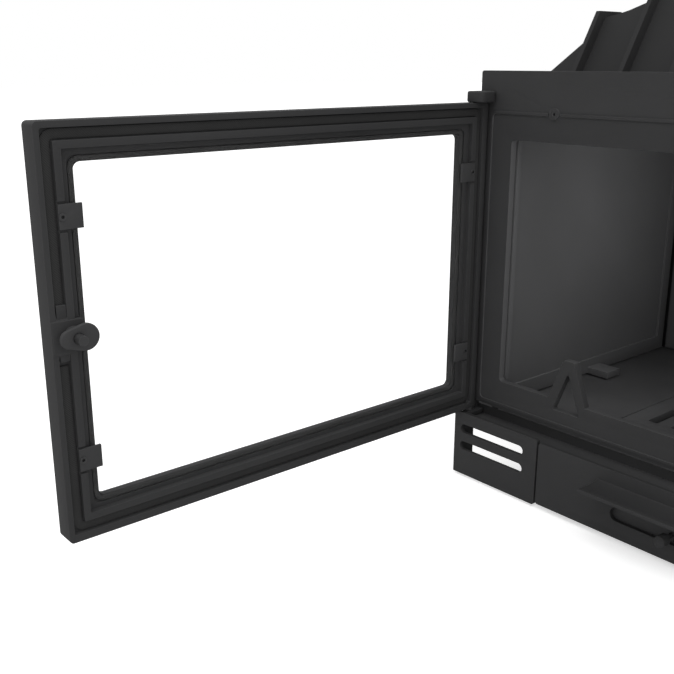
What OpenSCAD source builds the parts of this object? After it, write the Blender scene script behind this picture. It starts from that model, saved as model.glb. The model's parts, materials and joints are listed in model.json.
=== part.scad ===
// Cast-iron fireplace insert with its glass door standing open.
// X runs right along the front, Y runs into the hearth, Z is up.
// The front face of the frame is Y = 0 and the floor is Z = 0.

/* [Front frame] */
// Width of the front frame
frame_w = 628; // [600:1:680]
// Height of the front frame
frame_h = 457.6; // [420:1:520]
// Thickness of the front frame
frame_t = 10; // [8:0.5:14]
// Height of the frame's lower edge above the floor
frame_z = 111; // [108:1:130]
// Width of the fire opening
opening_w = 517.4; // [460:0.2:530]
// Height of the fire opening
opening_h = 331.1; // [280:0.1:360]
// Height of the sill above the frame's lower edge
sill_h = 40; // [30:1:55]
// Height of the log horns above the sill
horn_h = 56.6; // [40:0.2:80]

/* [Door] */
// Width of the door
door_w = 620; // [600:1:640]
// Height of the door
door_h = 425; // [400:1:440]
// Thickness of the door
door_t = 24; // [20:0.5:30]
// Width of the cast border beside the glass on the latch side
door_border = 39.5; // [36:0.5:44]
// Height of the cast border over and under the glass
door_border_end = 39; // [36:0.5:46]
// Thickness of the glass
glass_t = 4; // [3:0.5:5]
// Angle at which the door stands open
door_open = 90; // [0:1:90]

/* [Body] */
// Depth of the body behind the frame
body_d = 432; // [360:1:520]
// Height of the body above its base
body_h = 434; // [400:1:480]
// Thickness of the outer cast walls
wall_t = 10; // [6:0.5:14]
// Thickness of the liner plates
liner_t = 7; // [6:0.5:12]
// Thickness of the baffle
baffle_t = 8; // [6:0.5:12]

/* [Hood and flue] */
// Height of the hood above the body
hood_h = 126; // [100:1:160]
// Thickness of the hood's wall
hood_t = 8; // [6:0.5:12]
// Bore of the flue collar
flue_d = 181; // [150:1:190]
// Height of the flue collar
collar_h = 40; // [25:1:80]
// Number of fins on the hood
fin_count = 7; // [3:2:9]
// Thickness of a fin
fin_t = 6; // [4:0.5:9]

/* [Hearth] */
// Width of the grate
grate_w = 239; // [150:1:260]
// Depth of the grate
grate_d = 240; // [160:1:280]
// Thickness of the hearth floor and of the grate
floor_t = 10.3; // [10:0.1:18]
// Number of slots in the grate
grate_slots = 6; // [3:1:7]
// Width of a slot in the grate
grate_slot_w = 14; // [8:1:18]

/* [Apron and ash drawer] */
// Width of the drawer front
drawer_w = 328.4; // [280:0.2:340]
// Height of the apron plates
apron_h = 94.5; // [86:0.5:96]
// Thickness of the apron plates
apron_t = 6; // [4:0.5:8]
// Depth of the ash pan
pan_d = 318; // [200:1:340]
// Reach of the grip lip in front of the apron
lip_reach = 42; // [25:1:55]
// Width of the grip lip
lip_w = 141.8; // [80:0.2:180]

/* [Hidden] */
$fn = 64;
hull_fn = 32;

// Colours
iron = [0.15, 0.15, 0.16];
iron_dark = [0.1, 0.1, 0.11];
steel = [0.3, 0.3, 0.31];
bolt_grey = [0.35, 0.35, 0.36];
rope_grey = [0.08, 0.08, 0.08];
glass_tint = [0.8, 0.9, 0.95, 0.3];

// Clearances and the overrun of every cut
cut = 1;
bond = 0.5;
fit = 0.1;
run_gap = 0.3;

// Front frame
frame_x = frame_w / 2;
frame_corner = 3;
open_x = opening_w / 2;
sill_z = frame_z + sill_h;
open_corner = 5;

// Door, drawn closed and then swung about its pivot
door_x = door_w / 2;
door_gap = 3;
door_y_in = -door_gap;
door_y_out = door_y_in - door_t;
door_low = 7.7;
door_z = frame_z - door_low;
door_top = door_z + door_h;
door_mid_z = door_z + door_h / 2;
door_corner = 5;
pivot_in = 6.5;
pivot_x = -door_x + pivot_in;
pivot_y = door_y_in - pivot_in;
hinge_round = 3;
pin_r = 3;
pin_depth = 16;
groove_in = 6;
groove_low = 8.4;
groove_hinge = 11;
groove_w = 12;
groove_deep = 6;
groove_corner = 3;
ridge_corner = 1.5;
rope_turn = groove_w / 2 + ridge_corner;
ridge_w = 7.5;
glass_lap = 7;
hinge_extra = 6.5;
low_extra = 1;
border_hinge = door_border + hinge_extra;
border_low = door_border_end + low_extra;
clip_t = 3;
gasket_t = 2;
pocket_deep = clip_t + glass_t + gasket_t;
face_step = 7;
face_step_in = 10;
glass_gap = 1;
window_corner = 8;
groove_hole_r = 4;
groove_hole_deep = 4;
groove_hole_x = 17.2;
groove_hole_z = 10.4;
rope_slack = 0.3;

// Sealing bead on the frame, in line with the rope in the door
bead_mid = groove_w / 2;
bead_z = door_top - groove_in - bead_mid;
bead_w = 3.4;
bead_h = 1.8;
boss_r = 7.25;
boss_h = 2.4;
boss_hole_r = 2;
boss_hole_deep = 8;
boss_x = 193.2;
boss_drop = 11;
bead_break = 9;

// Log horns, two pierced A shapes on the sill
horn_x = 145.5;
horn_foot_w = 58;
horn_top_w = 18.5;
horn_round = 3;
horn_eye_w = 40;
horn_eye_drop = 15;
horn_eye_top = 19;
horn_eye_round = 2;

// Body
body_y = frame_t;
body_back = body_y + body_d;
base_t = 8;
body_low = 7;
body_z = frame_z - body_low;
base_z = body_z - base_t;
body_top = body_z + body_h;
liner_gap = 3;
liner_in = 2;
liner_x = open_x - liner_in;
wall_in = liner_x + liner_t + liner_gap;
wall_out = wall_in + wall_t;
back_liner_gap = 4;
back_t = 8;
back_in = body_back - back_t;
back_liner_y = back_in - back_liner_gap - liner_t;
floor_top = body_z + floor_t;
liner_foot = 3;
liner_z = floor_top + liner_foot;
liner_short = 50;
liner_h = body_h - liner_short;
liner_top = liner_z + liner_h;
liner_start = 2;
liner_front = body_y + liner_start;
liner_back = back_liner_y - liner_gap;
liner_border = 18;
liner_border_front = 8;
liner_border_low = 22;
liner_field = 3;
liner_foot_w = 20;
liner_foot_in = 28;
standoff_r = 6;
standoff_in = 45;
lug_y = 208;
lug_d = 32;
lug_h = 10;
lug_reach = 36;
rib_count = 5;
rib_t = 6;
rib_h = 5;

// Ears that carry the frame bolts
ear_w = 24;
ear_t = 8;
ear_h = 30;
ear_shares = [0.155, 0.74, 0.905];
ear_zs = [for (s = ear_shares) body_z + s * body_h];
bolt_r = 3;
bolt_head_r = 6;
bolt_head_t = 4;
bolt_bite = 7;

// Hearth
grate_back = 70;
grate_y = body_y + grate_back;
grate_gap = 0.5;
grate_seat = 9;
slot_margin = 31;
slot_pitch = 33.5;
grate_edge = 3;
lip_t = 6;
lip_drop = 10;
lip_x = 309;
shelf_t = 5;

// Baffle
baffle_tilt = 5;
baffle_in = 100;
baffle_front = body_y + baffle_in;
baffle_drop = 60;
baffle_z = body_top - baffle_drop;
baffle_side_gap = 3;
baffle_back_gap = 4;
ledge_w = 9;
ledge_h = 8;

// Hood
hood_flange_t = 8;
hood_base_z = body_top + hood_flange_t;
hood_top = body_top + hood_h;
hood_x = 265;
hood_in = 36.8;
hood_front_y = body_y + hood_in;
hood_back_in = 17;
hood_back_y = body_back - hood_back_in;
hood_slope = 59;
hood_run = hood_top - hood_base_z;
hood_crown_y = hood_front_y + hood_run / tan(hood_slope);
hood_back_run = 66;
hood_crown_back = hood_back_y - hood_back_run;
hood_back_h = 40;
hood_back_z = hood_base_z + hood_back_h;
// Corners of the front outline, as shares of the half width and of the rise above the flange
hood_shares = [[1, 0], [0.989, 0.1], [0.94, 0.186], [0.819, 0.48], [0.747, 0.745], [0.7, 0.765], [0.638, 0.805],
    [0.558, 0.877], [0.415, 0.966], [0.3, 1]];
flue_back = 104;
flue_y = hood_crown_y + flue_back;
collar_t = 7;
collar_r = flue_d / 2 + collar_t;
collar_lip = 5;
collar_lip_t = 5;
collar_spigot = 12;
fin_pitch = 67.5;
fin_proud = 16.5;
fin_shoulder_h = 103;
fin_shoulder_z = body_top + fin_shoulder_h;
fin_stand = 5;

// Apron
apron_z = 4;
apron_y = door_y_out;
apron_back = apron_y + apron_t;
apron_x = 315.4;
apron_gap = 3;
apron_in = drawer_w / 2 + apron_gap;
apron_edge = 3;
slot_in = 22.6;
slot_h = 13.2;
slot_out = 13;
slot_w = apron_x - apron_in - slot_out - slot_in;
slot_ups = [38, 64];
slot_zs = [for (u = slot_ups) apron_z + u];
flange_gap = 1;
flange_back = body_y - flange_gap;
flange_drop = 8.5;

// Ash drawer
drawer_x = drawer_w / 2;
drawer_up = 3.5;
drawer_z = apron_z + drawer_up;
drawer_short = 6.5;
drawer_h = apron_h - drawer_short;
drawer_corner = 4;
air_up = 22.9;
air_z = drawer_z + air_up;
air_h = 18.8;
air_left = -49.7;
air_w = 99.4;
air_mid = air_z + air_h / 2;
slider_t = 3.1;
slider_y = apron_back + run_gap;
rail_h = 6;
rail_t = 3.8;
rail_in = 18.2;
rail_x = drawer_x - rail_in;
slider_over = 4;
slider_left = -56;
slider_right = 130;
port_t = 2;
port_y = apron_back + rail_t;
window_w = 15;
window_h = 18;
bridge_w = 6;
knob_x = 31.7;
knob_r = 7.3;
knob_t = 16;
knob_dome_r = 11;
knob_front = 24;
shaft_r = 3;
screw_r = 1.6;
screw_head_r = 3;
screw_head_t = 1.6;
screw_bite = 4;
screw_in = 10;
screw_x = rail_x - screw_in;
pan_in = 8;
pan_y = apron_back + pan_in;
pan_h = 58;
pan_side = 16.2;
pan_x = drawer_x - pan_side;
pan_t = 2.5;
lug_w = 12;
pan_lug_in = 30;
pan_lug_x = pan_x - pan_lug_in;
pan_lug_h = 8;
pan_lug_up = 2;
pan_lug_z = drawer_z + pan_lug_up;
box_side = 12.2;
box_x = drawer_x - box_side;
box_t = 4;
box_reach = 320;
box_back = body_y + box_reach;
box_z = 0;
box_floor = 3;
pan_z = box_floor + run_gap;
box_flange = 16;
box_setback = 14;
grip_root_up = 71.5;
grip_root_z = drawer_z + grip_root_up;
grip_tip_up = 69;
grip_tip_z = drawer_z + grip_tip_up;
grip_root_t = 15;
grip_tip_t = 4;
grip_curve = 90;

// Feet
foot_x = 215;
foot_ins = [70, 370];
foot_ys = [for (u = foot_ins) body_y + u];
foot_pad_r = 18;
foot_pad_t = 5;
foot_stem_r = 6;
foot_bite = 6.7;
nut_t = 10;
nut_r = 11;

// Hinges
hinge_lug_t = 12.6;
hinge_lug_gap = 2.1;
hinge_lug_side = 12.5;
hinge_lug_w = 29.5;
hinge_lug_round = 8.5;
hinge_lug_reach = 29.2;
hinge_lug_edge = 4;
low_lug_t = 7.5;
low_lug_r = 6;
low_lug_drop = 19;
low_lug_z = frame_z - low_lug_drop;
spacer_r = 7;

// Latch
latch_inset = 22;
latch_x = door_x - latch_inset;
latch_up = 220.5;
latch_z = door_z + latch_up;
cam_r = 13.8;
cam_lobe = 8.2;
cam_tail = 8.5;
cam_hub_r = 9.5;
cam_t = 5;
latch_recess = 5;
cam_gap = 0.5;
cam_y = frame_t - latch_recess + cam_gap;
latch_boss_r = 10.3;
latch_washer_t = 1;
washer_r = 8;
spindle_r = 5;
spindle_end = 11;
slot_gap = 2;
pocket_h = 34;
pocket_back = 14;
pocket_out = 37;
pocket_wall = 4;
latch_pad_h = 34;
latch_pad_proud = 1;
ramp_len = 12;
handle_hub_r = 10;
handle_reach = 20;
handle_len = 92;
handle_r = 5;
handle_ball_r = 7.5;
handle_gap = 0.4;

// Glass clips
clip_len = 24.5;
clip_h = 24;
clip_rise = 124;
clip_seat = 30;
clip_bite = 8;
clip_socket = 3;
clip_socket_r = 1.8;
clip_screw_r = 2.5;
clip_head_r = 3.6;
clip_head_t = 0.8;

// A block between the ends of three spans
module span(x, y, z) {
    translate([x[0], y[0], z[0]]) cube([x[1] - x[0], y[1] - y[0], z[1] - z[0]]);
}

// Extrudes an outline drawn in X and Z from y0 to y1
module along_y(y0, y1) {
    translate([0, y1, 0]) rotate([90, 0, 0]) linear_extrude(y1 - y0) children();
}

// Extrudes an outline drawn in Y and Z from x0 to x1
module along_x(x0, x1) {
    translate([x0, 0, 0]) rotate([90, 0, 90]) linear_extrude(x1 - x0) children();
}

// A rod along Y
module rod_y(x, z, y0, y1, r) {
    translate([x, y0, z]) rotate([-90, 0, 0]) cylinder(h = y1 - y0, r = r);
}

// A rounded rectangle from its lower corner
module soft_rect(w, h, r) {
    translate([r, 0]) square([w - 2 * r, h]);
    translate([0, r]) square([w, h - 2 * r]);
    for (i = [r, w - r], j = [r, h - r]) translate([i, j]) circle(r);
}

// A rectangle centred on the door, set in from its edges
module door_rect(side, end, r) {
    translate([-door_x + side, door_z + end]) soft_rect(door_w - 2 * side, door_h - 2 * end, r);
}

// The outline of the sealing groove, set in from the groove's outer side
module seal_rect(inset, r) {
    left = groove_hinge + inset;
    low = groove_low + inset;
    translate([-door_x + left, door_z + low])
        soft_rect(door_w - left - groove_in - inset, door_h - low - groove_in - inset, r);
}

// The outline of the window, set in from its edges
module window_rect(inset, r) {
    left = border_hinge + inset;
    low = border_low + inset;
    translate([-door_x + left, door_z + low])
        soft_rect(door_w - left - door_border - inset, door_h - low - door_border_end - inset, r);
}

// A slot with round ends
module slot_shape(w, h) {
    translate([h / 2, 0]) square([w - h, h]);
    for (i = [h / 2, w - h / 2]) translate([i, h / 2]) circle(h / 2);
}

// Copies to both sides of the middle
module both_sides() {
    children();
    mirror([1, 0, 0]) children();
}

// Swings what is drawn closed with the door
module swing() {
    translate([pivot_x, pivot_y, 0]) rotate([0, 0, -door_open]) translate([-pivot_x, -pivot_y, 0]) children();
}

// One pierced log horn standing on the sill
module horn() {
    difference() {
        along_y(0, frame_t) hull() {
            translate([-horn_foot_w / 2, -bond]) square([horn_foot_w, bond]);
            for (i = [-1, 1]) translate([i * (horn_top_w / 2 - horn_round), horn_h - horn_round])
                circle(horn_round, $fn = hull_fn);
        }
    }
}

// The eye through a horn, which goes on below the sill
module horn_eye() {
    along_y(-cut, frame_t + cut) hull() {
        for (i = [-1, 1]) translate([i * (horn_eye_w / 2 - horn_eye_round), horn_eye_round - horn_eye_drop])
            circle(horn_eye_round, $fn = hull_fn);
        translate([0, horn_h - horn_eye_top - horn_eye_round]) circle(horn_eye_round, $fn = hull_fn);
    }
}

// Sealing bead all round, broken at the two bosses
module frame_bead() {
    difference() {
        along_y(-bead_h, bond) difference() {
            seal_rect(bead_mid - bead_w / 2, rope_turn + bead_w / 2);
            seal_rect(bead_mid + bead_w / 2, rope_turn - bead_w / 2);
        }
        for (i = [-1, 1]) span([i * boss_x - bead_break, i * boss_x + bead_break], [-bead_h - cut, 0],
            [bead_z - bead_w, bead_z + bead_w]);
    }
}

module front_frame() {
    color(iron) difference() {
        union() {
            difference() {
                along_y(0, frame_t) translate([-frame_x, frame_z]) soft_rect(frame_w, frame_h, frame_corner);
                along_y(-cut, frame_t + cut) translate([-open_x, sill_z])
                    soft_rect(opening_w, opening_h, open_corner);
            }
            frame_bead();
            for (i = [-1, 1]) {
                rod_y(i * boss_x, door_top - boss_drop, -boss_h, bond, boss_r);
                translate([i * horn_x, 0, sill_z]) horn();
            }
        }
        for (i = [-1, 1]) {
            rod_y(i * boss_x, door_top - boss_drop, -boss_h - cut, boss_hole_deep - boss_h, boss_hole_r);
            translate([i * horn_x, 0, sill_z]) horn_eye();
            for (z = ear_zs)
                rod_y(i * (wall_out + ear_w / 2), z, frame_t - bolt_bite, frame_t + cut, bolt_r + fit);
        }
        along_y(-bead_h - cut, frame_t + cut)
            translate([latch_x - cam_lobe - cam_r - slot_gap, latch_z - cam_r - slot_gap])
            soft_rect(cam_lobe + cam_r + cam_tail + cam_hub_r + 2 * slot_gap, 2 * (cam_r + slot_gap), slot_gap);
        rod_y(latch_x, latch_z, frame_t - latch_recess, frame_t + cut, cam_lobe + cam_r + slot_gap);
        span([latch_x, frame_x + cut], [-bead_h - cut, 0],
            [latch_z - latch_pad_h / 2 - slot_gap, latch_z + latch_pad_h / 2 + slot_gap]);
    }
}

// Left wall with its bolt ears and cooling ribs
module side_wall() {
    rib_pitch = (body_d - 2 * ear_w) / (rib_count + 1);
    difference() {
        union() {
            span([-wall_out, -wall_in], [body_y, body_back], [body_z, body_top]);
            for (z = ear_zs) span([-wall_out - ear_w, -wall_out + bond], [body_y, body_y + ear_t],
                [z - ear_h / 2, z + ear_h / 2]);
            for (i = [1 : rib_count]) translate([-wall_out - rib_h, body_y + ear_w + i * rib_pitch, body_z + ear_w])
                cube([rib_h + bond, rib_t, body_h - 2 * ear_w]);
        }
        for (z = ear_zs) rod_y(-wall_out - ear_w / 2, z, body_y - cut, body_y + ear_t + cut, bolt_r + fit);
        for (p = hood_bolt_places) translate([-p[0], p[1], body_top - bolt_bite])
            cylinder(h = bolt_bite + cut, r = bolt_r + fit);
        for (p = base_bolt_places) translate([-p[0], p[1], body_z - cut])
            cylinder(h = bolt_bite + cut, r = bolt_r + fit);
    }
}
wall_mid = (wall_in + wall_out) / 2;
bolt_from_end = 23;
hood_bolt_places = [[wall_mid, body_y + bolt_from_end], [wall_mid, body_back - bolt_head_r - 2 * bond]];
base_bolt_places = [[wall_mid, body_y + 2 * bolt_from_end], [wall_mid, body_back - bolt_from_end]];

module side_wall_left() {
    color(iron) side_wall();
}

// The right wall has a pocket in which the latch cam turns
module side_wall_right() {
    color(iron) difference() {
        union() {
            mirror([1, 0, 0]) side_wall();
            span([wall_out - bond, wall_out + pocket_out], [body_y, body_y + pocket_back + pocket_wall],
                [latch_z - pocket_h - pocket_wall, latch_z + pocket_h + pocket_wall]);
        }
        span([wall_in - cut, wall_out + pocket_out - pocket_wall], [body_y - cut, body_y + pocket_back],
            [latch_z - pocket_h, latch_z + pocket_h]);
    }
}

module back_wall() {
    rib_pitch = 2 * wall_in / (rib_count + 1);
    color(iron) {
        span([-wall_in, wall_in], [back_in, body_back], [body_z, body_top]);
        for (i = [1 : rib_count]) translate([-wall_in + i * rib_pitch - rib_t / 2, body_back - bond, body_z + ear_w])
            cube([rib_t, rib_h + bond, body_h - 2 * ear_w]);
    }
}

module base_plate() {
    shelf_top = base_z - lip_drop + shelf_t;
    color(iron) difference() {
        union() {
            span([-wall_out, wall_out], [body_y, body_back], [base_z, body_z]);
            span([-lip_x, lip_x], [body_y, body_y + lip_t], [base_z - lip_drop, body_z]);
            span([-lip_x, lip_x], [apron_back + run_gap, body_y + bond], [base_z - lip_drop, shelf_top]);
            both_sides() span([apron_in, lip_x], [apron_back, body_y + bond], [base_z - lip_drop, shelf_top]);
        }
        span([-grate_w / 2 + grate_seat, grate_w / 2 - grate_seat],
            [grate_y + grate_seat, grate_y + grate_d - grate_seat], [base_z - cut, body_z + cut]);
        for (p = foot_places) translate([p[0], p[1], base_z - cut])
            cylinder(h = foot_bite + cut + fit, r = foot_stem_r + fit);
        for (p = base_bolt_places, i = [-1, 1]) translate([i * p[0], p[1], base_z - cut])
            cylinder(h = base_t + 2 * cut, r = bolt_r + fit);
    }
}
foot_places = [for (i = [-1, 1], y = foot_ys) [i * foot_x, y]];

module hearth_floor() {
    floor_x = wall_in - fit;
    color(iron) difference() {
        span([-floor_x, floor_x], [body_y + fit, back_in - fit], [body_z, floor_top]);
        span([-grate_w / 2 - grate_gap, grate_w / 2 + grate_gap],
            [grate_y - grate_gap, grate_y + grate_d + grate_gap], [body_z - cut, floor_top + cut]);
    }
}

module grate() {
    slot_len = grate_d - 2 * slot_margin;
    first = -(grate_slots - 1) / 2 * slot_pitch - grate_slot_w / 2;
    color(iron) difference() {
        span([-grate_w / 2, grate_w / 2], [grate_y, grate_y + grate_d], [body_z, floor_top]);
        for (i = [0 : grate_slots - 1]) translate([first + i * slot_pitch, grate_y + slot_margin, body_z - cut])
            linear_extrude(floor_t + 2 * cut) soft_rect(grate_slot_w, slot_len, grate_slot_w / 4);
        for (i = [-1, 1]) translate([i * grate_w / 2, 0, floor_top]) rotate([0, 45, 0])
            translate([-grate_edge / 2, grate_y - cut, -grate_edge / 2])
            cube([grate_edge, grate_d + 2 * cut, grate_edge]);
    }
}

// The tilted line on which the baffle lies, as a block under or over it
module baffle_line(x, y0, y1, below, above) {
    translate([0, baffle_front, baffle_z]) rotate([-baffle_tilt, 0, 0])
        span(x, [y0, y1], [-below, above]);
}

// Left liner with its sunk field, foot lug and baffle ledge
module side_liner() {
    run = (liner_back - baffle_front) / cos(baffle_tilt);
    difference() {
        union() {
            span([-liner_x - liner_t, -liner_x], [liner_front, liner_back], [liner_z, liner_top]);
            for (y = [liner_front + liner_foot_in, liner_back - liner_foot_in - liner_foot_w])
                span([-liner_x - liner_t, -liner_x - liner_field], [y, y + liner_foot_w],
                    [floor_top, liner_z + bond]);
            span([-liner_x - bond, -liner_x + lug_reach], [lug_y, lug_y + lug_d], [liner_z, liner_z + lug_h]);
            baffle_line([-liner_x - liner_field - bond, -liner_x + ledge_w], ledge_h, run - ledge_h, ledge_h, 0);
            for (y = [liner_front + standoff_in, liner_back - standoff_in],
                z = [liner_z + standoff_in, liner_top - standoff_in])
                translate([-liner_x - liner_t - liner_gap + fit, y, z]) rotate([0, 90, 0])
                cylinder(h = liner_gap + bond, r = standoff_r);
        }
        difference() {
            span([-liner_x - liner_field, -liner_x + cut],
                [liner_front + liner_border_front, liner_back - liner_border],
                [liner_z + liner_border_low, liner_top - liner_border]);
            span([-liner_x - liner_field - cut, -liner_x + 2 * cut], [lug_y - cut, lug_y + lug_d + cut],
                [liner_z, liner_z + liner_border_low]);
            baffle_line([-liner_x - liner_field - cut, -liner_x + 2 * cut], ledge_h, run - ledge_h, ledge_h, 0);
        }
    }
}

module side_liner_left() {
    color(iron_dark) side_liner();
}

module side_liner_right() {
    color(iron_dark) mirror([1, 0, 0]) side_liner();
}

module back_liner() {
    x = liner_x - liner_gap;
    color(iron_dark) difference() {
        union() {
            span([-x, x], [back_liner_y, back_liner_y + liner_t], [liner_z, liner_top]);
            for (i = [-1, 1]) {
                span([i * x / 2 - liner_foot_w, i * x / 2 + liner_foot_w],
                    [back_liner_y + liner_field, back_liner_y + liner_t], [floor_top, liner_z + bond]);
                for (z = [liner_z + standoff_in, liner_top - standoff_in])
                    rod_y(i * (x - standoff_in), z, back_liner_y + liner_t - bond, back_in - fit, standoff_r);
            }
        }
        span([-x + liner_border, x - liner_border], [back_liner_y - cut, back_liner_y + liner_field],
            [liner_z + liner_border_low, liner_top - liner_border]);
    }
}

module baffle() {
    run = (back_liner_y - baffle_back_gap - baffle_front) / cos(baffle_tilt);
    x = liner_x - baffle_side_gap;
    color(iron_dark) baffle_line([-x, x], 0, run, 0, baffle_t);
}

// Front outline of the hood, drawn smaller by a wall for the inside
module hood_front(inset) {
    w = hood_x - inset;
    rise = hood_run - inset;
    polygon(concat(
        [for (s = hood_shares) [-s[0] * w, s[1] * rise]],
        [for (i = [len(hood_shares) - 1 : -1 : 0]) [hood_shares[i][0] * w, hood_shares[i][1] * rise]]));
}

// Side outline of the hood, drawn smaller by a wall for the inside
module hood_side(inset) {
    lean = inset / sin(hood_slope);
    polygon([[hood_front_y + lean, -inset], [hood_crown_y + lean - inset / tan(hood_slope), hood_run - inset],
        [hood_crown_back - inset, hood_run - inset], [hood_back_y - inset, hood_back_z - hood_base_z - inset],
        [hood_back_y - inset, -inset]]);
}

module hood_form(inset) {
    intersection() {
        translate([0, 0, hood_base_z]) along_y(hood_front_y - fin_proud, hood_back_y) hood_front(inset);
        translate([0, 0, hood_base_z]) along_x(-hood_x, hood_x) hood_side(inset);
    }
}

// One fin on the sloping front, standing up to its own flat top
module fin(x, top) {
    foot_y = hood_front_y - fin_proud;
    rise = top - hood_base_z;
    tip_y = foot_y + rise / tan(hood_slope);
    tail_y = hood_crown_y + fin_proud;
    along_x(x - fin_t / 2, x + fin_t / 2) difference() {
        polygon([[foot_y, hood_base_z - bond], [foot_y, hood_base_z], [tip_y, top], [tail_y, top],
            [tail_y, hood_base_z + rise / 2], [hood_front_y + fin_proud, hood_base_z - bond]]);
    }
}

module smoke_hood() {
    half = (fin_count - 1) / 2;
    color(iron) difference() {
        union() {
            span([-wall_out, wall_out], [body_y + fit, body_back], [body_top, hood_base_z]);
            hood_form(0);
            for (i = [-half : half]) fin(i * fin_pitch, abs(i) == half ? fin_shoulder_z : hood_top + fin_stand);
        }
        difference() {
            hood_form(hood_t);
            span([-hood_x, hood_x], [0, body_back], [0, hood_base_z]);
        }
        span([-hood_x + hood_t, hood_x - hood_t], [hood_front_y + hood_t, hood_back_y - hood_t],
            [body_top - cut, hood_base_z + cut]);
        translate([0, flue_y, hood_top - collar_spigot - cut])
            cylinder(h = collar_spigot + 2 * cut + fin_stand, r = collar_r - collar_t / 2);
        translate([0, flue_y, hood_top]) cylinder(h = fin_stand + cut, r = collar_r + collar_lip + fit);
        for (p = hood_bolt_places, i = [-1, 1]) translate([i * p[0], p[1], body_top - cut])
            cylinder(h = hood_flange_t + 2 * cut, r = bolt_r + fit);
    }
}

module flue_collar() {
    color(iron) translate([0, flue_y, hood_top]) difference() {
        union() {
            cylinder(h = collar_h, r = collar_r);
            cylinder(h = collar_lip_t, r = collar_r + collar_lip);
            translate([0, 0, -collar_spigot]) cylinder(h = collar_spigot + bond, r = collar_r - collar_t / 2 - fit);
        }
        translate([0, 0, -collar_spigot - cut]) cylinder(h = collar_h + collar_spigot + 2 * cut, r = flue_d / 2);
    }
}

// A hexagon bolt that points down from its head
module bolt_down(length) {
    translate([0, 0, -length]) cylinder(h = length + bond, r = bolt_r);
    cylinder(h = bolt_head_t, r = bolt_head_r, $fn = 6);
}

module hood_bolts() {
    color(bolt_grey) for (p = hood_bolt_places, i = [-1, 1]) translate([i * p[0], p[1], hood_base_z])
        bolt_down(hood_flange_t + bolt_bite - bond);
}

module frame_bolts() {
    color(bolt_grey) for (z = ear_zs, i = [-1, 1]) translate([i * (wall_out + ear_w / 2), body_y + ear_t, z])
        rotate([-90, 0, 0]) bolt_down(ear_t + bolt_bite - bond);
}

module base_bolts() {
    color(bolt_grey) for (p = base_bolt_places, i = [-1, 1]) translate([i * p[0], p[1], base_z])
        rotate([180, 0, 0]) bolt_down(base_t + bolt_bite - bond);
}

// Left apron plate with two slots and a return flange at its outer edge
module apron() {
    difference() {
        union() {
            along_y(apron_y, apron_back) translate([-apron_x, apron_z])
                soft_rect(apron_x - apron_in, apron_h, apron_edge);
            span([-apron_x, -apron_x + apron_t], [apron_back - bond, flange_back],
                [apron_z, apron_z + apron_h - flange_drop]);
        }
        for (z = slot_zs) along_y(apron_y - cut, apron_back + cut) translate([-apron_x + slot_out, z])
            slot_shape(slot_w, slot_h);
        difference() {
            span([-apron_x - cut, -apron_x + apron_edge], [apron_y - cut, apron_y + apron_edge],
                [apron_z - cut, apron_z + apron_h + cut]);
            translate([-apron_x + apron_edge, apron_y + apron_edge, apron_z - cut])
                cylinder(h = apron_h + 2 * cut, r = apron_edge);
        }
    }
}

module apron_left() {
    color(iron) apron();
}

module apron_right() {
    color(iron) mirror([1, 0, 0]) apron();
}

// Open-fronted housing that the drawer slides in
module ash_box() {
    front = apron_back + box_setback;
    low_top = base_z - lip_drop;
    step_y = body_y + lip_t + run_gap;
    color(iron_dark) {
        span([-box_x - box_t, box_x + box_t], [front, box_back], [box_z, box_z + box_floor]);
        both_sides() {
            span([box_x, box_x + box_t], [front, step_y + bond], [box_z, low_top - run_gap]);
            span([box_x, box_x + box_t], [step_y, box_back], [box_z, base_z]);
            span([box_x, box_x + box_flange], [step_y, box_back], [base_z - box_t, base_z]);
        }
        span([-box_x - bond, box_x + bond], [box_back - box_t, box_back], [box_z, base_z]);
    }
}

module levelling_feet() {
    color(steel) for (p = foot_places) translate([p[0], p[1], 0]) {
        cylinder(h = foot_pad_t, r = foot_pad_r);
        cylinder(h = base_z + foot_bite, r = foot_stem_r);
    }
}

module foot_locknuts() {
    color(bolt_grey) for (p = foot_places) translate([p[0], p[1], base_z - nut_t]) difference() {
        cylinder(h = nut_t, r = nut_r, $fn = 6);
        translate([0, 0, -cut]) cylinder(h = nut_t + 2 * cut, r = foot_stem_r + fit);
    }
}

// Upper hinge lug, cast with a round end over the pin
module upper_hinge_lug() {
    z = door_top + hinge_lug_gap;
    left = pivot_x - hinge_lug_side;
    color(iron) translate([0, 0, z]) difference() {
        union() {
            translate([left, -hinge_lug_reach]) linear_extrude(hinge_lug_t)
                soft_rect(hinge_lug_w, hinge_lug_reach / 2, hinge_lug_edge);
            translate([left + hinge_lug_edge / 2, -hinge_lug_reach / 2 - hinge_lug_edge])
                cube([hinge_lug_w - hinge_lug_edge / 2, hinge_lug_reach / 2 + hinge_lug_edge, hinge_lug_t]);
            translate([pivot_x, pivot_y]) cylinder(h = hinge_lug_t, r = hinge_lug_round);
        }
        translate([pivot_x, pivot_y, -cut]) cylinder(h = hinge_lug_t + 2 * cut, r = pin_r + fit);
    }
}

module lower_hinge_lug() {
    color(iron) translate([0, 0, low_lug_z]) difference() {
        union() {
            translate([pivot_x, pivot_y]) cylinder(h = low_lug_t, r = low_lug_r);
            translate([pivot_x - low_lug_r, pivot_y]) cube([2 * low_lug_r, body_y - pivot_y, low_lug_t]);
        }
        translate([pivot_x, pivot_y, -cut]) cylinder(h = low_lug_t + 2 * cut, r = pin_r + fit);
    }
}

module upper_hinge_pin() {
    z = door_top - pin_depth + 2 * run_gap;
    color(steel) translate([pivot_x, pivot_y, z])
        cylinder(h = door_top + hinge_lug_gap + hinge_lug_t - z, r = pin_r);
}

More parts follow.
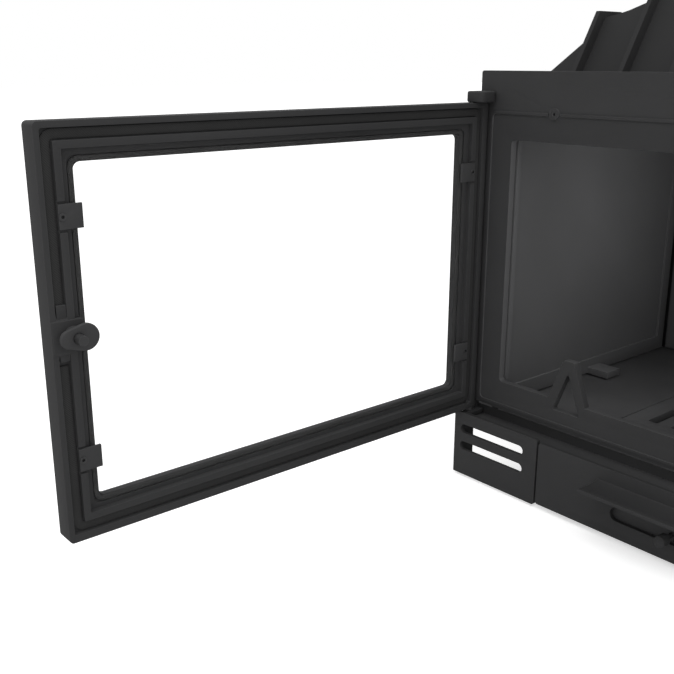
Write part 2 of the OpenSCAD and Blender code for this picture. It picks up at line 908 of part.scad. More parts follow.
module lower_hinge_pin() {
    color(steel) translate([pivot_x, pivot_y, low_lug_z])
        cylinder(h = door_z + pin_depth - 2 * run_gap - low_lug_z, r = pin_r);
}

module hinge_spacer() {
    z = low_lug_z + low_lug_t;
    color(steel) translate([pivot_x, pivot_y, z]) difference() {
        cylinder(h = door_z - run_gap - z, r = spacer_r);
        translate([0, 0, -cut]) cylinder(h = door_z - z + cut, r = pin_r + fit);
    }
}

// Ramp that leads the rope groove up to the latch pad
module groove_ramp(way) {
    x0 = door_x - groove_in - groove_w - bond;
    z0 = latch_z + way * latch_pad_h / 2;
    low_y = door_y_in - groove_deep;
    along_x(x0, x0 + groove_w + 2 * bond)
        polygon([[low_y - bond, z0 - way * bond], [door_y_in, z0 - way * bond], [door_y_in, z0],
            [low_y, z0 + way * ramp_len], [low_y - bond, z0 + way * ramp_len]]);
}

// Places of the four glass clips, each with the side it is on
clip_places = [for (i = [-1, 1], j = [-1, 1]) [i, door_mid_z + j * clip_rise]];

// Distance from the door's edge to the outer end of a clip
function clip_from(side) = (side > 0 ? groove_in : groove_hinge) + groove_w;

// Puts a clip part on its side of the door, drawn from the clip's outer end inwards
module at_clip(p) {
    mirror([p[0] > 0 ? 1 : 0, 0, 0]) translate([-door_x + clip_from(p[0]), 0, p[1]]) children();
}

// Sockets for the hinge pins, the clip screws and the groove's end hole
module door_holes() {
    for (z = [door_z - cut, door_top - pin_depth]) translate([pivot_x, pivot_y, z])
        cylinder(h = pin_depth + cut, r = pin_r + fit);
    for (p = clip_places) at_clip(p) rod_y(ridge_w / 2, 0, door_y_in - clip_t - clip_bite, door_y_in + cut,
        clip_screw_r + fit);
    rod_y(-door_x + groove_hole_x, door_z + groove_hole_z, door_y_in - groove_deep - groove_hole_deep,
        door_y_in + cut, groove_hole_r);
    rod_y(latch_x, latch_z, door_y_out - cut, cam_y + cut, spindle_r + fit);
}

// Edge beside the hinge, rounded so that it clears the frame
module hinge_edge_cut() {
    difference() {
        span([-door_x - cut, -door_x + hinge_round], [door_y_in - hinge_round, door_y_in + cut],
            [door_z - cut, door_top + cut]);
        translate([-door_x + hinge_round, door_y_in - hinge_round, door_z - cut])
            cylinder(h = door_h + 2 * cut, r = hinge_round);
    }
}

module door_casting() {
    pad_x = door_x - groove_in - groove_w - bond;
    color(iron) swing() difference() {
        union() {
            difference() {
                along_y(door_y_out, door_y_in) door_rect(0, 0, door_corner);
                along_y(door_y_out - cut, door_y_in + cut) window_rect(0, window_corner);
                along_y(door_y_in - pocket_deep, door_y_in + cut) window_rect(-glass_lap, window_corner);
                along_y(door_y_in - clip_t, door_y_in + cut) seal_rect(groove_w + ridge_w, ridge_corner);
                along_y(door_y_out - cut, door_y_out + face_step)
                    window_rect(-face_step_in, window_corner);
                along_y(door_y_in - groove_deep, door_y_in + cut) difference() {
                    seal_rect(0, groove_corner);
                    seal_rect(groove_w, ridge_corner);
                }
                for (p = clip_places) at_clip(p) span([-cut, ridge_w + cut], [door_y_in - clip_t, door_y_in + cut],
                    [-clip_seat / 2, clip_seat / 2]);
                hinge_edge_cut();
            }
            span([pad_x, door_x], [door_y_in - groove_deep - bond, door_y_in + latch_pad_proud],
                [latch_z - latch_pad_h / 2, latch_z + latch_pad_h / 2]);
            for (way = [-1, 1]) groove_ramp(way);
            rod_y(latch_x, latch_z, door_y_in - clip_t - bond, cam_y - latch_washer_t - fit, latch_boss_r);
        }
        door_holes();
    }
}

module door_glass() {
    color(glass_tint) swing() along_y(door_y_in - clip_t - glass_t, door_y_in - clip_t)
        window_rect(glass_gap - glass_lap, window_corner);
}

module glass_gasket() {
    seat = door_y_in - pocket_deep;
    color(rope_grey) swing() along_y(seat, seat + gasket_t) difference() {
        window_rect(glass_gap - glass_lap, window_corner);
        window_rect(0, window_corner);
    }
}

module glass_clips() {
    color(iron_dark) swing() for (p = clip_places) at_clip(p) difference() {
        span([0, clip_len], [door_y_in - clip_t, door_y_in], [-clip_h / 2, clip_h / 2]);
        rod_y(ridge_w / 2, 0, door_y_in - clip_t - cut, door_y_in + cut, clip_screw_r + fit);
    }
}

module clip_screws() {
    color(bolt_grey) swing() for (p = clip_places) at_clip(p) difference() {
        union() {
            rod_y(ridge_w / 2, 0, door_y_in - clip_t - clip_bite + fit, door_y_in + bond, clip_screw_r);
            rod_y(ridge_w / 2, 0, door_y_in, door_y_in + clip_head_t, clip_head_r);
        }
        rod_y(ridge_w / 2, 0, door_y_in + clip_head_t - clip_socket, door_y_in + clip_head_t + cut, clip_socket_r);
    }
}

// Section of the flattened rope, measured from the middle of its groove
module rope_section() {
    w = groove_w - 2 * rope_slack;
    translate([-w / 2, 0]) slot_shape(w, groove_deep);
}

// Rope lying in the groove, open where the latch pad fills the groove
module door_rope() {
    x0 = -door_x + groove_hinge + groove_w / 2;
    x1 = door_x - groove_in - groove_w / 2;
    z0 = door_z + groove_low + groove_w / 2;
    z1 = door_top - groove_in - groove_w / 2;
    bend = rope_turn;
    break_h = latch_pad_h / 2 + ramp_len + bond;
    color(rope_grey) swing() translate([0, door_y_in - groove_deep, 0]) {
        for (z = [z0, z1]) translate([x0 + bend, 0, z]) rotate([0, 90, 0]) linear_extrude(x1 - x0 - 2 * bend)
            rope_section();
        translate([x0, 0, z0 + bend]) linear_extrude(z1 - z0 - 2 * bend) rope_section();
        translate([x1, 0, z0 + bend]) linear_extrude(latch_z - break_h - z0 - bend) rope_section();
        translate([x1, 0, latch_z + break_h]) linear_extrude(z1 - bend - latch_z - break_h) rope_section();
        rope_bend(x0 + bend, z0 + bend, 180, bend);
        rope_bend(x1 - bend, z0 + bend, 90, bend);
        rope_bend(x1 - bend, z1 - bend, 0, bend);
        rope_bend(x0 + bend, z1 - bend, 270, bend);
    }
}

// A quarter turn of the rope about the corner centre x, z
module rope_bend(x, z, turn, bend) {
    translate([x, 0, z]) rotate([0, turn, 0]) rotate([-90, 0, 0]) mirror([0, 1, 0]) rotate_extrude(angle = 90)
        translate([bend, 0]) rope_section();
}

// Latch, drawn closed and unlocked with its lobe towards the glass
module at_latch() {
    swing() translate([latch_x, 0, latch_z]) children();
}

module latch_spindle() {
    end_y = cam_y + cam_t + spindle_end;
    start_y = door_y_out - handle_reach;
    color(steel) at_latch() {
        rod_y(0, 0, start_y, end_y, spindle_r);
    }
}

// Egg-shaped outline round a large and a small circle
module egg(lobe, r1, tail, r2) {
    hull() {
        translate([-lobe, 0]) circle(r1, $fn = hull_fn);
        translate([tail, 0]) circle(r2, $fn = hull_fn);
    }
}

module latch_cam() {
    color(iron_dark) at_latch() difference() {
        along_y(cam_y, cam_y + cam_t) egg(cam_lobe, cam_r, cam_tail, cam_hub_r);
        rod_y(0, 0, cam_y - cut, cam_y + cam_t + cut, spindle_r + fit);
    }
}

module latch_washer() {
    color(steel) at_latch() difference() {
        rod_y(0, 0, cam_y - latch_washer_t, cam_y, washer_r);
        rod_y(0, 0, cam_y - latch_washer_t - cut, cam_y + cut, spindle_r + fit);
    }
}

module door_handle() {
    bar_y = door_y_out - handle_reach;
    color(steel) at_latch() rotate([0, 90, 0]) difference() {
        union() {
            rod_y(0, 0, bar_y - handle_r, door_y_out - handle_gap, handle_hub_r);
            translate([-handle_len, bar_y, 0]) rotate([0, 90, 0]) cylinder(h = handle_len, r = handle_r);
            translate([-handle_len, bar_y, 0]) sphere(r = handle_ball_r);
        }
        rod_y(0, 0, bar_y - fit, door_y_out, spindle_r + fit);
    }
}

// Ash drawer front with its air slot and scooped grip
module drawer_front() {
    y1 = apron_y - lip_reach;
    mid_y = (apron_y + y1) / 2;
    mid_z = (grip_root_z + grip_tip_z) / 2;
    rise = sqrt(grip_curve * grip_curve - lip_reach * lip_reach / 4);
    color(iron) {
        difference() {
            along_y(apron_y, apron_back) translate([-drawer_x, drawer_z])
                soft_rect(drawer_w, drawer_h, drawer_corner);
            along_y(apron_y - cut, apron_back + cut) translate([air_left, air_z]) slot_shape(air_w, air_h);
            for (p = screw_places) rod_y(p[0], p[1], apron_back - screw_bite, apron_back + cut, screw_r + fit);
        }
        along_x(-lip_w / 2, lip_w / 2) difference() {
            polygon([[apron_y + bond, grip_root_z + bond], [apron_y, grip_root_z + bond], [apron_y, grip_root_z],
                [y1, grip_tip_z], [y1, grip_tip_z - grip_tip_t], [apron_y + bond, grip_root_z - grip_root_t]]);
            translate([mid_y, mid_z + rise]) circle(grip_curve, $fn = 180);
        }
    }
}
rail_low = air_z - slider_over - run_gap;
rail_high = air_z + air_h + slider_over + run_gap;
screw_places = [for (i = [-1, 1], z = [rail_low - rail_h / 2, rail_high + rail_h / 2]) [i * screw_x, z]];

module ash_pan() {
    color(steel) {
        difference() {
            span([-pan_x, pan_x], [pan_y, pan_y + pan_d], [pan_z, pan_z + pan_h]);
            span([-pan_x + pan_t, pan_x - pan_t], [pan_y + pan_t, pan_y + pan_d - pan_t],
                [pan_z + pan_t, pan_z + pan_h + cut]);
        }
        for (i = [-1, 1]) span([i * pan_lug_x - lug_w / 2, i * pan_lug_x + lug_w / 2],
            [apron_back, pan_y + bond], [pan_lug_z, pan_lug_z + pan_lug_h]);
    }
}

// The air window beside the knob
module air_window(y0, y1) {
    x = knob_x + bridge_w / 2;
    span([x, x + window_w], [y0, y1], [air_mid - window_h / 2, air_mid + window_h / 2]);
}

module air_port_plate() {
    color(steel) difference() {
        union() {
            span([-rail_x, rail_x], [port_y, port_y + port_t], [rail_low - rail_h, rail_high + rail_h]);
            span([-rail_x, rail_x], [apron_back, port_y + bond], [rail_low - rail_h, rail_low]);
            span([-rail_x, rail_x], [apron_back, port_y + bond], [rail_high, rail_high + rail_h]);
        }
        air_window(port_y - cut, port_y + port_t + cut);
        for (p = screw_places) rod_y(p[0], p[1], apron_back - cut, port_y + port_t + cut, screw_r + fit);
    }
}

module port_screws() {
    y1 = port_y + port_t;
    color(bolt_grey) for (p = screw_places) {
        rod_y(p[0], p[1], apron_back - screw_bite + fit, y1 + bond, screw_r);
        rod_y(p[0], p[1], y1, y1 + screw_head_t, screw_head_r);
    }
}

module air_slider() {
    color(steel) difference() {
        span([slider_left, slider_right], [slider_y, slider_y + slider_t],
            [air_z - slider_over, air_z + air_h + slider_over]);
        air_window(slider_y - cut, slider_y + slider_t + cut);
    }
}

module air_knob() {
    y0 = apron_y - knob_front;
    color(iron) {
        rod_y(knob_x, air_mid, y0 + knob_t - bond, slider_y, shaft_r);
        intersection() {
            rod_y(knob_x, air_mid, y0, y0 + knob_t, knob_r);
            translate([knob_x, y0 + knob_dome_r, air_mid]) sphere(r = knob_dome_r);
        }
        rod_y(knob_x, air_mid, y0 + knob_dome_r - sqrt(knob_dome_r * knob_dome_r - knob_r * knob_r), y0 + knob_t,
            knob_r);
    }
}

front_frame();
side_wall_left();
side_wall_right();
back_wall();
base_plate();
hearth_floor();
grate();
side_liner_left();
side_liner_right();
back_liner();
baffle();
smoke_hood();
flue_collar();
hood_bolts();
frame_bolts();
base_bolts();
apron_left();
apron_right();
ash_box();
levelling_feet();
foot_locknuts();
upper_hinge_lug();
lower_hinge_lug();
upper_hinge_pin();
lower_hinge_pin();
hinge_spacer();
door_casting();
door_glass();
glass_gasket();
glass_clips();
clip_screws();
door_rope();
latch_spindle();
latch_cam();
latch_washer();
door_handle();
drawer_front();
ash_pan();
air_port_plate();
port_screws();
air_slider();
air_knob();
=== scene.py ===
"""Looks of the cast-iron fireplace insert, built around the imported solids."""
import json
import math

import bmesh
import bpy
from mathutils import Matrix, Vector


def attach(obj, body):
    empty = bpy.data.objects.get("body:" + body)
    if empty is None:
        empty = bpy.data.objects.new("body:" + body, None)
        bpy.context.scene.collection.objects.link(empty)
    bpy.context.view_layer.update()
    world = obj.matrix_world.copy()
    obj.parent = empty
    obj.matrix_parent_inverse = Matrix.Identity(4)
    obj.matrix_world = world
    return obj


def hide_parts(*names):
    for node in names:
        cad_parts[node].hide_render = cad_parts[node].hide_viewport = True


MM = 0.001
EDGE_ANGLE = math.radians(28)
FLAT_ANGLE = math.radians(1)
WELD = 0.02 * MM
EDGE_SEGMENTS = 3

# Cast iron: scales of the noises, and how much lighter grains are, edges that are worn and carry a
# painted highlight, and faces given painted light
FINE, GRAINS, UNEVEN, CLOUD, EDGE_PATCHES = 900.0, 330.0, 38.0, 9.0, 2.3
SPECK_GAIN, WORN_AND_HIGHLIGHT_GAIN, PAINTED_LIGHT_GAIN = 1.9, 1.7, 2.4
WORN_AND_HIGHLIGHT_RADIUS = 1.3 * MM
BLUISH = 1.02

# Woven seals: scales of the strands, fuzz and shade, and how square a strip's section is
STRANDS, FUZZ, SHADE = 260.0, 700.0, 26.0
SQUARENESS = 0.55

# Light: the world's strength on the object, behind it, and the glow of the floor seen there
SKY, BACKDROP, FLOOR_GLOW = 0.86, 1.0, 0.55

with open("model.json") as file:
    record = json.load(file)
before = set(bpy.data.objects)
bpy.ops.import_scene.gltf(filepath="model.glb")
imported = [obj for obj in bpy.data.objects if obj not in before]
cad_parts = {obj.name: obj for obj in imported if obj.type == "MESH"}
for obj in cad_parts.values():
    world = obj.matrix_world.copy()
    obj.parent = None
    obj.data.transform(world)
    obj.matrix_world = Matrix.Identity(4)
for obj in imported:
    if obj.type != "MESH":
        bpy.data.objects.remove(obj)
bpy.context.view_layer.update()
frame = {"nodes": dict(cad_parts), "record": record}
nodes = frame["nodes"]


def noise(tree, coords, scale, detail, rough):
    """A noise over the surface."""
    made = tree.nodes.new("ShaderNodeTexNoise")
    made.inputs["Scale"].default_value = scale
    made.inputs["Detail"].default_value = detail
    made.inputs["Roughness"].default_value = rough
    tree.links.new(coords, made.inputs["Vector"])
    return made.outputs["Fac"]


def ramp(tree, source, low, high, dark, light):
    """A value between dark and light as the source goes from low to high."""
    made = tree.nodes.new("ShaderNodeMapRange")
    made.inputs["From Min"].default_value = low
    made.inputs["From Max"].default_value = high
    made.inputs["To Min"].default_value = dark
    made.inputs["To Max"].default_value = light
    tree.links.new(source, made.inputs["Value"])
    return made.outputs["Result"]


def maths(tree, operation, first, second):
    """The result of a sum of two sockets or numbers."""
    made = tree.nodes.new("ShaderNodeMath")
    made.operation = operation
    for value, slot in ((first, made.inputs[0]), (second, made.inputs[1])):
        if isinstance(value, bpy.types.NodeSocket):
            tree.links.new(value, slot)
        else:
            slot.default_value = value
    return made.outputs[0]


def axes(tree, vector):
    """The three parts of a vector."""
    made = tree.nodes.new("ShaderNodeSeparateXYZ")
    tree.links.new(vector, made.inputs[0])
    return made.outputs


def bump(tree, height, strength, distance, below=None):
    """A normal that is raised by the height, over another one if there is one."""
    made = tree.nodes.new("ShaderNodeBump")
    made.inputs["Strength"].default_value = strength
    made.inputs["Distance"].default_value = distance
    tree.links.new(height, made.inputs["Height"])
    if below:
        tree.links.new(below, made.inputs["Normal"])
    return made.outputs["Normal"]


def lit(colour, gain):
    """A colour made lighter or darker."""
    return tuple(min(1, c * gain) for c in colour[:3]) + (1,)


def new_material(name):
    """A material with its tree and its shader."""
    mat = bpy.data.materials.new(name)
    mat.use_nodes = True
    return mat, mat.node_tree, mat.node_tree.nodes["Principled BSDF"]


def mix(tree, factor, first, second):
    """One colour over another by a factor."""
    made = tree.nodes.new("ShaderNodeMix")
    made.data_type = "RGBA"
    for value, name in ((factor, "Factor"), (first, "A"), (second, "B")):
        slots = [s for s in made.inputs if s.name == name and s.enabled]
        if isinstance(value, bpy.types.NodeSocket):
            tree.links.new(value, slots[0])
        else:
            slots[0].default_value = value
    return [s for s in made.outputs if s.enabled][0]


def cast_iron(name, grey, grain=1.0, rough=0.72, metal=0.0, specular=0.13, clouds=1.0, edge_wear_and_highlight=0.75,
              top_light=0.3, reveal_light=0.0):
    """Matte stove paint over sand-cast iron: fine grain, soft clouding, arrises lighter from wear and a
    painted highlight, painted light on tops.
    """
    mat, tree, shader = new_material(name)
    coords = tree.nodes.new("ShaderNodeTexCoord").outputs["Object"]
    fine = noise(tree, coords, FINE, 3.0, 0.6)
    grains = noise(tree, coords, GRAINS, 4.0, 0.6)
    cloud = noise(tree, coords, CLOUD, 4.0, 0.6)
    base = (grey, grey, grey * BLUISH, 1)
    clouding = ramp(tree, cloud, 0.3, 0.7, 0.0, 1.0)
    colour = mix(tree, clouding, lit(base, 1 - 0.12 * clouds), lit(base, 1 + 0.14 * clouds))
    colour = mix(tree, ramp(tree, grains, 0.35, 0.75, 0.0, 0.35), colour, base)
    colour = mix(tree, ramp(tree, fine, 0.62, 0.8, 0.0, 0.3), colour, lit(base, SPECK_GAIN))
    # Edges made lighter, in patches: partly worn paint, partly painted highlight, weaker on faces turned
    # down
    edge = tree.nodes.new("ShaderNodeBevel")
    edge.samples = 4
    edge.inputs["Radius"].default_value = WORN_AND_HIGHLIGHT_RADIUS
    surface = tree.nodes.new("ShaderNodeNewGeometry").outputs["Normal"]
    turn = tree.nodes.new("ShaderNodeVectorMath")
    turn.operation = "DOT_PRODUCT"
    tree.links.new(edge.outputs["Normal"], turn.inputs[0])
    tree.links.new(surface, turn.inputs[1])
    worn_and_highlight = ramp(tree, turn.outputs["Value"], 0.995, 0.86, 0.0, edge_wear_and_highlight)
    patches = ramp(tree, noise(tree, coords, EDGE_PATCHES, 3.0, 0.5), 0.35, 0.7, 0.35, 1.0)
    facing = axes(tree, surface)
    above = ramp(tree, facing["Z"], -0.5, 0.0, 0.1, 1.0)
    worn_and_highlight = maths(tree, "MULTIPLY", maths(tree, "MULTIPLY", worn_and_highlight, patches), above)
    colour = mix(tree, worn_and_highlight, colour, lit(base, WORN_AND_HIGHLIGHT_GAIN))
    # Painted light: faces turned up are made lighter, as though lit from above
    colour = mix(tree, ramp(tree, facing["Z"], 0.3, 0.9, 0.0, top_light), colour, lit(base, PAINTED_LIGHT_GAIN))
    # Painted light: faces turned in towards the middle, such as the jambs of the opening, are made
    # lighter
    if reveal_light:
        inward = maths(tree, "MULTIPLY", facing["X"], axes(tree, coords)["X"])
        colour = mix(tree, ramp(tree, inward, -0.12, -0.2, 0.0, reveal_light), colour, lit(base, PAINTED_LIGHT_GAIN))
    tree.links.new(colour, shader.inputs["Base Color"])
    tree.links.new(ramp(tree, cloud, 0.25, 0.75, rough - 0.06, rough + 0.08), shader.inputs["Roughness"])
    shader.inputs["Metallic"].default_value = metal
    shader.inputs["Specular IOR Level"].default_value = specular
    height = maths(tree, "ADD", maths(tree, "MULTIPLY", fine, 0.45), grains)
    normal = bump(tree, height, 0.22 * grain, 0.35 * MM)
    normal = bump(tree, noise(tree, coords, UNEVEN, 3.0, 0.5), 0.1 * grain, 1.2 * MM, normal)
    tree.links.new(normal, shader.inputs["Normal"])
    return mat


def woven(name, grey, contrast, fuzz_height):
    """Graphite-grey glass fibre, woven in fine crossing strands."""
    mat, tree, shader = new_material(name)
    coords = tree.nodes.new("ShaderNodeTexCoord").outputs["Object"]
    strands = tree.nodes.new("ShaderNodeTexWave")
    strands.bands_direction = "DIAGONAL"
    strands.inputs["Scale"].default_value = STRANDS
    strands.inputs["Distortion"].default_value = 2.5
    tree.links.new(coords, strands.inputs["Vector"])
    base = (grey, grey, grey, 1)
    dark = lit(base, 1 - contrast)
    crossing = ramp(tree, strands.outputs["Fac"], 0.2, 0.8, 0.0, 1.0)
    colour = mix(tree, crossing, dark, lit(base, 1 + contrast))
    shade = noise(tree, coords, SHADE, 3.0, 0.5)
    colour = mix(tree, ramp(tree, shade, 0.3, 0.7, 0.0, 0.4), colour, dark)
    tree.links.new(colour, shader.inputs["Base Color"])
    shader.inputs["Roughness"].default_value = 0.9
    shader.inputs["Specular IOR Level"].default_value = 0.08
    fuzz = noise(tree, coords, FUZZ, 4.0, 0.65)
    tree.links.new(bump(tree, fuzz, fuzz_height, 0.3 * MM), shader.inputs["Normal"])
    return mat


def clear_glass(name):
    """Clear ceramic glass: seen through, with a faint sheen that grows at a slant."""
    mat, tree, shader = new_material(name)
    tree.nodes.remove(shader)
    through = tree.nodes.new("ShaderNodeBsdfTransparent")
    through.inputs["Color"].default_value = (0.985, 0.985, 0.985, 1)
    sheen = tree.nodes.new("ShaderNodeBsdfGlossy")
    sheen.inputs["Roughness"].default_value = 0.03
    slant = tree.nodes.new("ShaderNodeFresnel")
    slant.inputs["IOR"].default_value = 1.02
    faint = maths(tree, "MINIMUM", slant.outputs["Fac"], 0.01)
    inner = tree.nodes.new("ShaderNodeNewGeometry").outputs["Backfacing"]
    shown = maths(tree, "MULTIPLY", faint, ramp(tree, inner, 0.0, 1.0, 1.0, 0.0))
    blend = tree.nodes.new("ShaderNodeMixShader")
    tree.links.new(shown, blend.inputs[0])
    tree.links.new(through.outputs[0], blend.inputs[1])
    tree.links.new(sheen.outputs[0], blend.inputs[2])
    tree.links.new(blend.outputs[0], tree.nodes["Material Output"].inputs["Surface"])
    return mat


IRON = cast_iron("paint_matte_iron", 0.037, clouds=0.6)
# The frame's copy of the paint carries more painted top light and painted light on its inward faces
FRAME = cast_iron("paint_frame_iron", 0.038, clouds=0.6, top_light=0.65, reveal_light=0.9)
APRON = cast_iron("paint_apron_iron", 0.039, clouds=0.6, top_light=0.0)
# Painted shade: a darker copy of the painted iron, without top light, worn by the smoke hood and the
# lower hinge lug
SHADED_IRON = cast_iron("painted_shade_iron", 0.0285, clouds=0.6, top_light=0.0)
FIRE = cast_iron("iron_firebox", 0.044, grain=1.2, rough=0.74)
LINER = cast_iron("iron_liner", 0.088, rough=0.74, clouds=0.4, edge_wear_and_highlight=0.4)
HEARTH = cast_iron("iron_hearth", 0.088, grain=1.2, rough=0.78, clouds=0.8, top_light=0.0)
SHEET = cast_iron("paint_sheet_steel", 0.042, grain=0.5, rough=0.55)
FIXING = cast_iron("steel_blackened", 0.05, grain=0.4, rough=0.48, metal=0.4)
STEEL = cast_iron("steel_plain", 0.09, grain=0.3, rough=0.42, metal=0.7)
ROPE = woven("rope_fibre", 0.035, contrast=0.2, fuzz_height=0.25)
TAPE = woven("tape_fibre", 0.048, contrast=0.1, fuzz_height=0.03)
GLASS = clear_glass("glass_clear")
BY_SLOT = {"cast_iron": IRON, "fire_iron": FIRE, "sheet_steel": SHEET, "fixings": FIXING, "steel": STEEL,
           "rope": ROPE, "glass": GLASS}
BY_NODE = {
    "front_frame": FRAME, "apron_left": APRON, "apron_right": APRON, "drawer_front": APRON,
    "smoke_hood": SHADED_IRON, "lower_hinge_lug": SHADED_IRON, "latch_spindle": FIXING,
    "side_liner_left": LINER, "side_liner_right": LINER, "back_liner": LINER,
    "hearth_floor": HEARTH, "grate": HEARTH,
}
SLOT_OF = {s["node"]: s["material_slot"] for s in frame["record"]["subparts"]}
BODY_OF = {n: b for b, names in frame["record"]["behaviour"]["bodies"].items() for n in names}


def clean_copy(name, source):
    """A copy of a solid's mesh with its flat faces joined, ready for rounding."""
    mesh = bpy.data.meshes.new(name)
    work = bmesh.new()
    work.from_mesh(source.data)
    bmesh.ops.remove_doubles(work, verts=work.verts, dist=WELD)
    bmesh.ops.dissolve_limit(work, angle_limit=FLAT_ANGLE, verts=work.verts, edges=work.edges)
    work.to_mesh(mesh)
    work.free()
    made = bpy.data.objects.new(name, mesh)
    bpy.context.scene.collection.objects.link(made)
    return made


def apply_all(obj):
    """Writes the modifiers into the mesh."""
    bpy.context.view_layer.update()
    graph = bpy.context.evaluated_depsgraph_get()
    mesh = bpy.data.meshes.new_from_object(obj.evaluated_get(graph))
    obj.modifiers.clear()
    obj.data = mesh


def material_of(node):
    """The material that a CAD node wears."""
    return BY_NODE.get(node, BY_SLOT[SLOT_OF[node]])


def finish(made, node, radius):
    """Rounds a piece's edges, gives it the node's material and lets it ride as the node does."""
    bevel = made.modifiers.new("round", "BEVEL")
    bevel.width = radius * MM
    bevel.segments = EDGE_SEGMENTS
    bevel.limit_method = "ANGLE"
    bevel.angle_limit = EDGE_ANGLE
    apply_all(made)
    for face in made.data.polygons:
        face.use_smooth = True
    made.data.set_sharp_from_angle(angle=EDGE_ANGLE)
    made.data.materials.clear()
    made.data.materials.append(material_of(node))
    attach(made, BODY_OF[node])


def dress(node, radius, cutter=None):
    """The solid with its edges rounded, shown in its place."""
    made = clean_copy(node + "_cast", nodes[node])
    if cutter:
        seat = made.modifiers.new("form", "BOOLEAN")
        seat.operation = "DIFFERENCE"
        seat.object = cutter
        seat.solver = "EXACT"
        apply_all(made)
        bpy.data.objects.remove(cutter)
    finish(made, node, radius)
    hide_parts(node)


# The door stands open by a quarter turn about its pins
PIVOT = (-303.5, -9.5)


def swung(x, y, z):
    """A point of the closed door, in millimetres, where it is with the door open."""
    return Vector((PIVOT[0] + y - PIVOT[1], PIVOT[1] - x + PIVOT[0], z)) * MM


def prism(name, outline, near, far, place):
    """A straight prism over an outline, its corners put in place by a function."""
    mesh = bpy.data.meshes.new(name)
    work = bmesh.new()
    first = [work.verts.new(place(u, near, v)) for u, v in outline]
    second = [work.verts.new(place(u, far, v)) for u, v in outline]
    work.faces.new(first)
    work.faces.new(list(reversed(second)))
    for k in range(len(outline)):
        n = (k + 1) % len(outline)
        work.faces.new((first[n], first[k], second[k], second[n]))
    bmesh.ops.recalc_face_normals(work, faces=work.faces)
    work.to_mesh(mesh)
    work.free()
    made = bpy.data.objects.new(name, mesh)
    bpy.context.scene.collection.objects.link(made)
    return made


def standing(x, z, y):
    """A point of a fixed part, in millimetres: across, up and into the depth."""
    return Vector((x, y, z)) * MM


def soft_corners(left, right, low, high, turn, count=5):
    """Outline of a rectangle with round corners."""
    rows = []
    for cx, cz, first in ((right - turn, low + turn, -90), (right - turn, high - turn, 0),
                          (left + turn, high - turn, 90), (left + turn, low + turn, 180)):
        for i in range(count + 1):
            angle = math.radians(first + 90 * i / count)
            rows.append((cx + turn * math.cos(angle), cz + turn * math.sin(angle)))
    return rows


ROUNDED = {
    "front_frame": 1.2, "door_casting": 1.0, "drawer_front": 1.4, "apron_left": 1.2, "apron_right": 1.2,
    "smoke_hood": 1.4, "flue_collar": 1.2, "side_liner_left": 1.4,
    "side_liner_right": 1.4, "back_liner": 1.4, "grate": 1.2, "hearth_floor": 1.0, "glass_clips": 0.7,
    "latch_cam": 1.2, "air_knob": 0.9, "base_plate": 1.0, "side_wall_left": 1.2, "side_wall_right": 1.2,
    "back_wall": 1.2, "door_handle": 1.0, "baffle": 1.2,
}
# The lower hinge lug widens under the door, and its root goes up to the frame's lower edge
lower = prism("lug_form", soft_corners(-308.6, -291.0, -19.5, 9.4, 4.5), 92.0, 99.4, standing)
finish(lower, "lower_hinge_lug", 1.0)
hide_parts("lower_hinge_lug")
root = prism("lug_root", soft_corners(-313.4, -300.9, 0.6, 9.4, 1.0), 92.0, 110.9, standing)
finish(root, "lower_hinge_lug", 0.6)

# The seat round the glass lies as deep as the glass is thick, inside the ridge
SEAT = prism("seat_cutter", soft_corners(-279.5, 284.5, 131.2, 502.8, 1.5), -10.0, -4.0, swung)
for name, radius in ROUNDED.items():
    dress(name, radius, cutter=SEAT if name == "door_casting" else None)


def rounded_path(left, right, low, high, turn, step):
    """Points and inward normals all round a rectangle with round corners, in X and Z."""
    corners = [(right - turn, low + turn, -90), (right - turn, high - turn, 0),
               (left + turn, high - turn, 90), (left + turn, low + turn, 180)]
    sides = [((left + turn, low), (right - turn, low)), ((right, low + turn), (right, high - turn)),
             ((right - turn, high), (left + turn, high)), ((left, high - turn), (left, low + turn))]
    rows = []
    for (start, end), (cx, cz, first) in zip(sides, corners):
        length = math.dist(start, end)
        count = max(2, int(length / step))
        away = math.radians(first)
        out = (math.cos(away), math.sin(away))
        for i in range(count):
            share = i / count
            rows.append((start[0] + (end[0] - start[0]) * share,
                         start[1] + (end[1] - start[1]) * share, out))
        arc = max(6, int(turn * math.pi / 2 / step))
        for i in range(arc):
            angle = math.radians(first + 90 * i / arc)
            out = (math.cos(angle), math.sin(angle))
            rows.append((cx + turn * out[0], cz + turn * out[1], out))
    return rows


